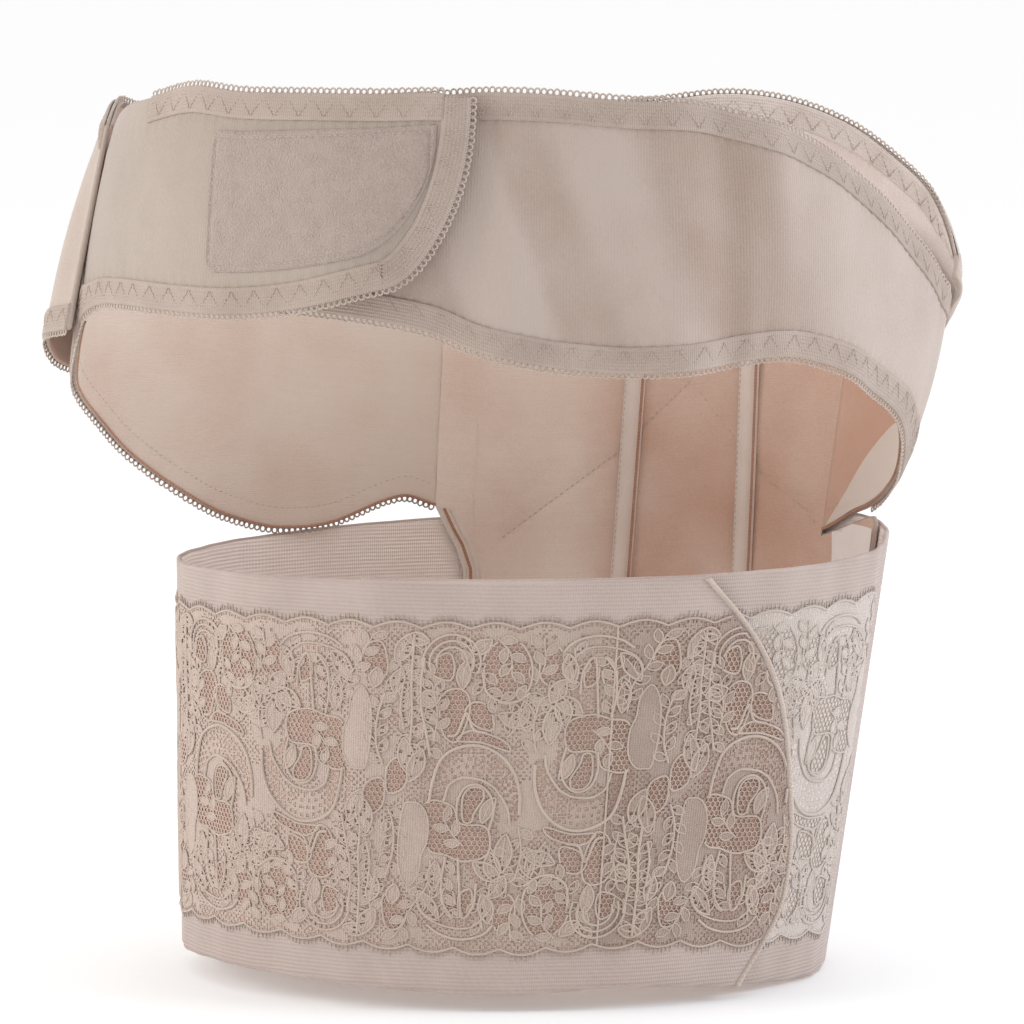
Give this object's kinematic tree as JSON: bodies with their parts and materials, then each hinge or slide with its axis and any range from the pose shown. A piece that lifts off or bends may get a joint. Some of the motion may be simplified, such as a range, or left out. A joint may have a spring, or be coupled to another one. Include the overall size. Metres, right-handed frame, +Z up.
{
  "type": "maternity belt",
  "caption": "Pregnancy support belt as worn: wrap-around upper band with a rounded fastening flap, boned back panel and a lace-covered elastic lower belt.",
  "frame": {"origin": "middle of the wearer's waist, between the upper wrap and the lower belt, on the torso's axis", "axes": "+Z up the torso, +X to the right as seen from the front, +Y from the front to the back"},
  "size_m": [0.3607, 0.2109, 0.3497],
  "materials": {
    "brushed_cloth": "brushed foam-backed knit, beige pink",
    "ribbed_tape": "ribbed picot-edged elastic tape",
    "loop_pile": "matt loop pile",
    "elastic_web": "finely ribbed woven elastic",
    "lace_net": "corded stretch lace",
    "casing_web": "smooth woven casing over a flat bone"
  },
  "bodies": {
    "root": {"left_wing": "brushed_cloth", "left_top_tape": "ribbed_tape", "left_edge_tape": "ribbed_tape", "fastener_patch": "loop_pile", "back_panel": "brushed_cloth", "bone_left": "casing_web", "bone_right": "casing_web", "right_wing": "brushed_cloth", "right_top_tape": "ribbed_tape", "right_lower_tape": "ribbed_tape", "outer_back_band": "brushed_cloth", "band_top_tape": "ribbed_tape", "band_lower_tape": "ribbed_tape", "lower_belt_left": "elastic_web", "lower_belt_right": "elastic_web", "end_binding": "ribbed_tape", "lace_left": "lace_net", "lace_right": "lace_net"}
  },
  "joints": []
}
